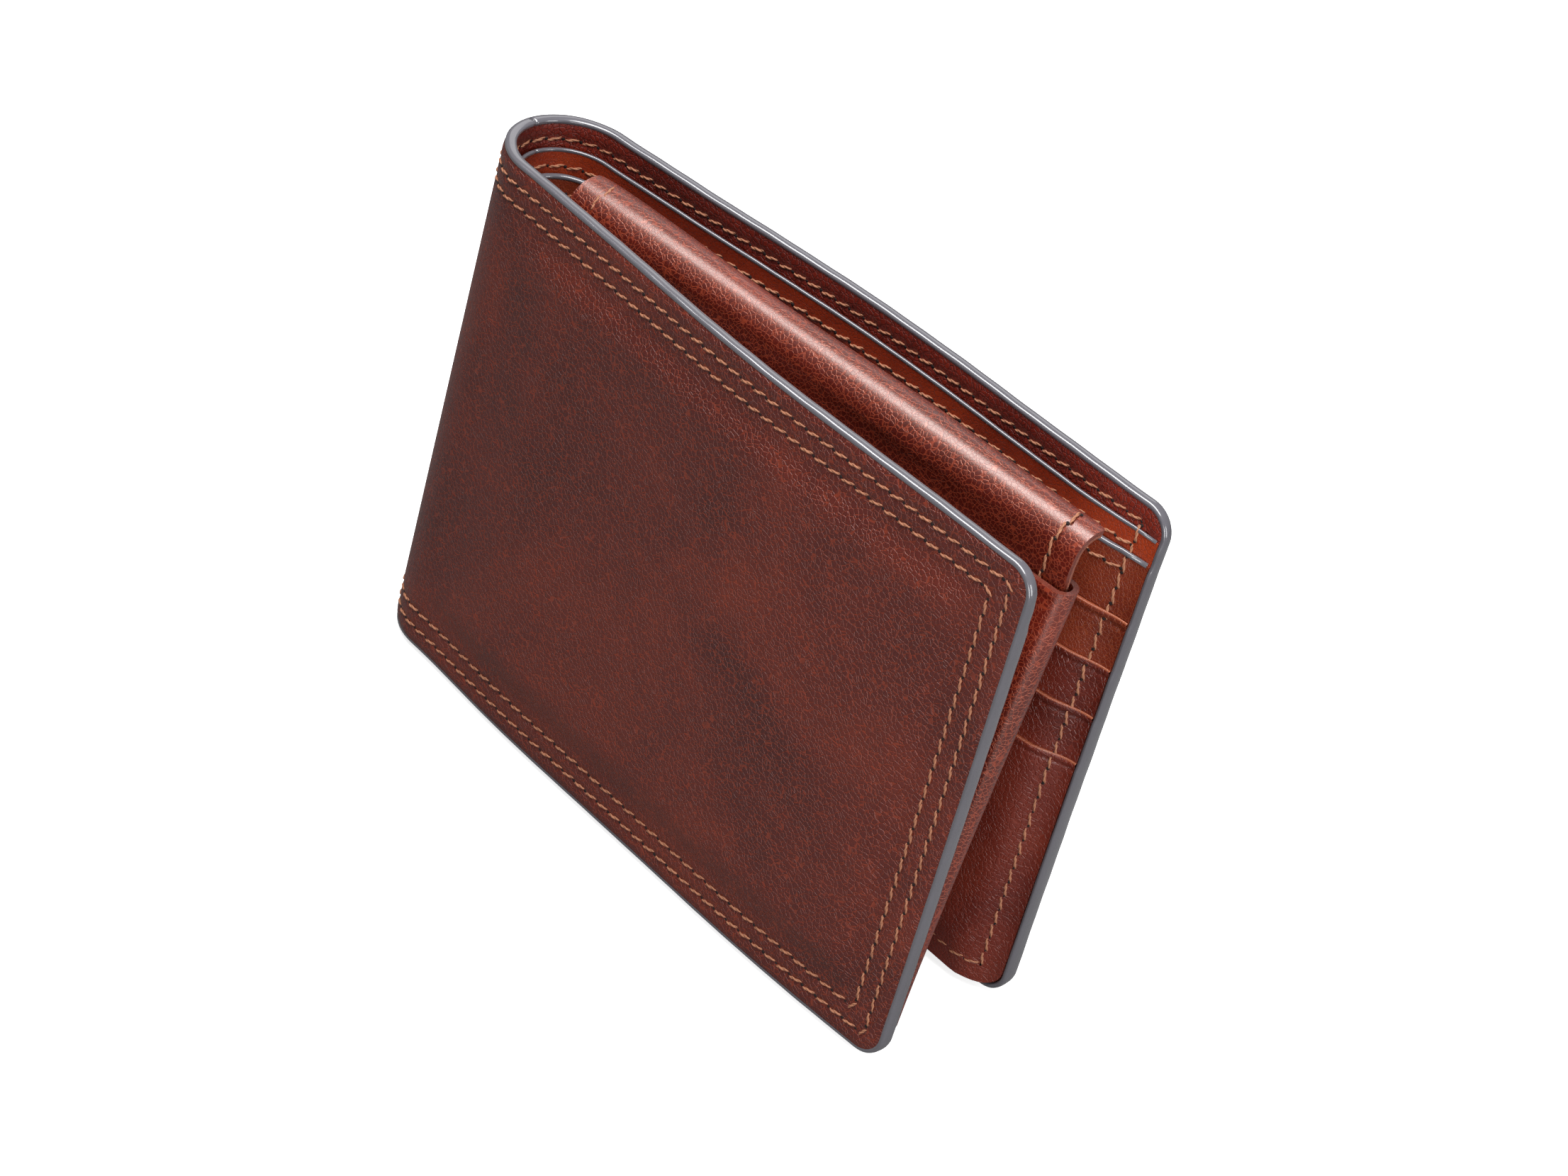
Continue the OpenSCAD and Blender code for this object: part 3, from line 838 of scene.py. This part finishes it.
def pouch_gussets():
    """Left gusset and bottom gusset."""
    zs = np.linspace(2.5, 70, 30)
    f = np.linspace(0, 1, 8)
    F, Z = np.meshgrid(f, zs)
    w = 2 * fold_radius(Z) + 0.2
    s = POUCH_S0 + 0.2 + 1.6 * np.sin(math.pi * F)
    t = wall_depth(POUCH_S0, Z) + 0.6 + F * (w - 0.2)
    ob = thick_sheet("pouch_fold_left", pouch_place(s, t, Z), pouch_place(s + 0.8, t, Z),
                     np.stack([F * 5, Z], -1) * UV_SCALE, M_LINING)
    attach(ob, "front_half", ["pouch_gusset_left"])
    s = np.linspace(POUCH_S0 + 1, POUCH_S1 - 4, 50)
    S, F = np.meshgrid(s, f)
    z = 2.3 - 0 * S
    t = wall_depth(S, 2.5) + 0.7 + F * (2 * fold_radius(2.5) + 0.2)
    ob = thick_sheet("pouch_bottom", pouch_place(S, t, z), pouch_place(S, t, z + 0.8),
                     np.stack([S, F * 5], -1) * UV_SCALE, M_LINING)
    attach(ob, "front_half", ["pouch_bottom_gusset"])


def flap_profile(s):
    """Depths, heights, outward normals and part numbers along the flap: 0 is the sewn-in root, 0.5 the
    rolled top and 1 the hanging leg."""
    c = roll_centre(s)
    root_z = np.linspace(ROOT_FOOT, ROLL_Z, 16)[:-1]
    ang = np.linspace(math.pi, 0, 44)
    leg_z = np.linspace(ROLL_Z, FLAP_TIP, 34)[1:]
    t = np.concatenate([c - ROLL_R + 0 * root_z, c + ROLL_R * np.cos(ang), c + ROLL_R + 0 * leg_z])
    z = np.concatenate([root_z, ROLL_Z + ROLL_R * np.sin(ang), leg_z])
    nt = np.concatenate([-np.ones_like(root_z), np.cos(ang), np.ones_like(leg_z)])
    nz = np.concatenate([0 * root_z, np.sin(ang), 0 * leg_z])
    part = np.concatenate([0 * root_z, 0.5 + 0 * ang, 1 + 0 * leg_z])
    return t, z, nt, nz, part


def flap_sheet(name, r_out, r_in, material, nodes, inset=0.0):
    """One layer of the flap, narrowing past the crown, with gentle waves along its width."""
    depth, z, nt, nz, part = flap_profile(FLAP_MIDDLE)
    from_centre = depth - roll_centre(FLAP_MIDDLE)
    past_crown = smooth(from_centre, 0.8, ROLL_R)
    taper = np.where(part > 0, 7.0 * past_crown, 0)
    taper = taper + np.where(part == 1, np.clip(84 - z, 0, 16) + np.clip(58 - z, 0, 4) ** 2 * 0.25, 0)
    lo = FLAP_S0 + inset + taper
    hi = FLAP_S1 - inset - taper
    outer, inner, uvs = [], [], []
    d = np.concatenate([[0], np.cumsum(np.hypot(np.diff(depth), np.diff(z)))])
    for share in np.linspace(0, 1, 80):
        s = lo + share * (hi - lo)
        t = from_centre + roll_centre(s)
        wave = 0.25 * np.sin(s * 0.11) * (part > 0)
        outer.append(pouch_place(s, t + nt * (r_out + wave), z + nz * (r_out + 0.6 * wave)))
        inner.append(pouch_place(s, t + nt * (r_in + wave), z + nz * (r_in + 0.6 * wave)))
        uvs.append(np.stack([s, d], -1) * UV_SCALE)
    ob = thick_sheet(name, np.array(outer), np.array(inner), np.array(uvs), material)
    sharpen(ob)
    attach(ob, "flap", nodes)


pouch_wall()
pouch_front()
pouch_gussets()
flap_sheet("flap_grain_leather", 0.0, -0.75, M_POUCH, ["flap_root", "flap_leather_outer"])
flap_sheet("flap_backing", -0.75, -1.3, M_RAW, ["flap_lining"], inset=0.08)

# ---------------------------------------------------------------- thread
for side, sign in (("back", 1), ("front", -1)):
    th = Thread(f"thread_cover_{side}")
    for inset in ROW_INSETS:
        a, z = row_path(inset)
        th.row(*surface_row(sign, a, z, outer_depth, False))
    # row on the lining along the top, and on the divider and panel below their painted edges
    a = np.arange(0, U_MAX - 4.0, ROW_STEP)
    th.row(*surface_row(sign, a, HEIGHT - ROW_INSETS[0], lining_depth, True))
    nodes = [f"cover_stitches_{side}"] + (["cover_stitches_spine"] if sign > 0 else [])
    th.build(side, nodes)
    th = Thread(f"thread_leaves_{side}")
    th.row(*surface_row(sign, a, DIVIDER_TOP - 2.7, divider_inner, True))
    th.row(*surface_row(sign, a, PANEL_TOP - 2.6, panel_inner, True))
    th.build(side, ["card_panel_stitches"] if sign > 0 else [])

th = Thread("thread_card_side")
z = np.arange(HEIGHT - 3.5, 4.0, -ROW_STEP)
th.row(*surface_row(1, 0 * z + U_MAX - 4.0, z, back_surface, True))
a = np.arange(U_MAX - 4.0, POCKET_START + 1, -ROW_STEP)
th.row(*surface_row(1, a, 4.0, back_surface, True))
th.build("back_half", [])

th = Thread("thread_pouch_side")
z = np.arange(4.0, WALL_TOP - 1.5, ROW_STEP)
s = POUCH_S1 - 4.3 + 0 * z
th.row(*with_normals(pouch_place(s, wall_depth(s, z), z), pouch_place(s, wall_depth(s, z) - 0.2, z)))
th.build("front_half", ["pouch_stitches"])

th = Thread("thread_flap_ends")
for s in (FLAP_S0 + 4.0, FLAP_S1 - 4.0):
    t, z, nt, nz, _ = flap_profile(s)
    keep = (z > 77.5) & (t < roll_centre(s) + 0.6)
    t, z, nt, nz = t[keep], z[keep], nt[keep], nz[keep]
    th.row(*with_normals(pouch_place(s, t, z), pouch_place(s, t + nt * 0.2, z + nz * 0.2)))
th.build("flap", ["flap_stitches"])


# ---------------------------------------------------------------- snap
def dome(name, centre, axis, radius, height, material):
    """Low domed button with a rim."""
    prof = [(0, height), (radius * 0.55, height * 0.96), (radius * 0.8, height * 0.72),
            (radius * 0.86, height * 0.45), (radius * 0.93, height * 0.55), (radius, height * 0.35), (radius, 0.0),
            (0, 0.0)]
    axis = np.array(axis) / np.linalg.norm(axis)
    a = np.cross(axis, [0, 0, 1.0])
    a = a / np.linalg.norm(a)
    b = np.cross(axis, a)
    sides = 48
    verts = []
    for r, h in prof:
        for k in range(sides):
            f = 2 * math.pi * k / sides
            verts.append(np.array(centre) + (a * math.cos(f) + b * math.sin(f)) * r * MM + axis * h * MM)
    ob = make_mesh(name, verts, grid_faces(len(prof), sides, wrap_v=True), None, material)
    fix_normals(ob, merge=1e-7)
    sharpen(ob, 40)
    return ob


snap_s = (FLAP_S0 + FLAP_S1) / 2
inward = pouch_place(snap_s, 1.0, SNAP_Z) - pouch_place(snap_s, 0.0, SNAP_Z)
leg_t = roll_centre(snap_s) + ROLL_R
cap = dome("snap_cap_dome", pouch_place(snap_s, leg_t + 0.1, SNAP_Z), inward, 5.0, 0.9, M_SNAP)
attach(cap, "pouch_flap", ["flap_snap_cap"])
front_t = float(front_depth(snap_s, SNAP_Z)) + POUCH_THICK
socket = dome("snap_socket_ring", pouch_place(snap_s, front_t, SNAP_Z), inward, 4.0, 0.5, M_SNAP)
attach(socket, "front_half", ["pouch_snap_socket"])

# ---------------------------------------------------------------- stage, light, camera
scene = bpy.context.scene
scene.view_settings.view_transform = "Standard"
scene.view_settings.look = "None"

FLOOR_HALF, FLOOR_Z = 3, -0.0012
floor = make_mesh("floor", [(x * FLOOR_HALF, y * FLOOR_HALF, FLOOR_Z) for x, y in ((-1, -1), (1, -1), (1, 1), (-1, 1))],
                  [(0, 1, 2, 3)])
fm = bpy.data.materials.new("floor_white")
fm.use_nodes = True
ft = fm.node_tree
ft.nodes.clear()
L = ft.links.new
# the camera sees a white floor; the leather only gets a weak reflection of it
f_out = node(ft, "ShaderNodeOutputMaterial")
f_seen = node(ft, "ShaderNodeBsdfDiffuse", Color=(0.85, 0.85, 0.85, 1))
f_lift = node(ft, "ShaderNodeEmission", Strength=0.72)
f_sum = node(ft, "ShaderNodeAddShader")
L(f_seen.outputs[0], f_sum.inputs[0])
L(f_lift.outputs[0], f_sum.inputs[1])
f_back = node(ft, "ShaderNodeBsdfDiffuse", Color=(0.18, 0.18, 0.18, 1))
f_path = node(ft, "ShaderNodeLightPath")
f_mix = node(ft, "ShaderNodeMixShader")
L(f_path.outputs["Is Camera Ray"], f_mix.inputs[0])
L(f_back.outputs[0], f_mix.inputs[1])
L(f_sum.outputs[0], f_mix.inputs[2])
L(f_mix.outputs[0], f_out.inputs[0])
floor.data.materials.append(fm)

world = bpy.data.worlds.new("studio")
scene.world = world
world.use_nodes = True
wn = world.node_tree
wn.nodes.clear()
L = wn.links.new
w_out = node(wn, "ShaderNodeOutputWorld")
w_seen = node(wn, "ShaderNodeBackground", Color=(1, 1, 1, 1), Strength=1.2)
w_light = node(wn, "ShaderNodeBackground", Color=(1, 1, 1, 1), Strength=0.21)
w_path = node(wn, "ShaderNodeLightPath")
w_mix = node(wn, "ShaderNodeMixShader")
L(w_path.outputs["Is Camera Ray"], w_mix.inputs[0])
L(w_light.outputs[0], w_mix.inputs[1])
L(w_seen.outputs[0], w_mix.inputs[2])
L(w_mix.outputs[0], w_out.inputs[0])


def area_light(name, position, target, size, power):
    data = bpy.data.lights.new(name, "AREA")
    data.shape = "RECTANGLE"
    data.size, data.size_y = size
    data.energy = power
    ob = bpy.data.objects.new(name, data)
    scene.collection.objects.link(ob)
    ob.location = position
    ob.rotation_mode = "QUATERNION"
    ob.rotation_quaternion = (Vector(target) - Vector(position)).to_track_quat("-Z", "Y")


area_light("key_overhead", (-0.05, -0.12, 0.78), (0.0, 0, 0.07), (0.9, 0.34), 11.0)
area_light("rim_behind", (-0.5, 0.75, 0.62), (0.0, 0, 0.08), (0.6, 0.3), 0.6)
area_light("front_fill", (0.22, -0.22, 0.08), (0.06, 0, 0.02), (0.14, 0.14), 0.4)
area_light("right_fill", (0.85, 0.1, 0.22), (0.05, 0, 0.05), (0.3, 0.5), 3.0)

# camera, fitted to the photo
AZIMUTH, ELEVATION, ROLL = math.radians(32.88), math.radians(34.62), math.radians(16.33)
DISTANCE = 0.6321
LENS, SENSOR = 97.6492, 36.0
AIM_HEIGHT, AIM_ALONG, AIM_RIGHT, AIM_UP = 0.044, 0.055, 0.00327, 0.00101
facing = Vector((math.sin(AZIMUTH) * math.cos(ELEVATION), -math.cos(AZIMUTH) * math.cos(ELEVATION),
                 math.sin(ELEVATION)))
level = Vector((math.cos(AZIMUTH), math.sin(AZIMUTH), 0))
upright = facing.cross(level)
right = math.cos(ROLL) * level + math.sin(ROLL) * upright
up = -math.sin(ROLL) * level + math.cos(ROLL) * upright
bisector = Vector((math.cos(-OPENING / 2), math.sin(-OPENING / 2), 0))
target = Vector((CENTRE[0] * MM, CENTRE[1] * MM, AIM_HEIGHT)) + bisector * AIM_ALONG + right * AIM_RIGHT + up * AIM_UP
cam_data = bpy.data.cameras.new("camera")
cam_data.sensor_width = SENSOR
cam_data.lens = LENS
cam_data.clip_start = 0.01
camera = bpy.data.objects.new("camera", cam_data)
scene.collection.objects.link(camera)
pose = Matrix((right, up, facing)).transposed().to_4x4()
pose.translation = target + facing * DISTANCE
camera.matrix_world = pose
scene.camera = camera
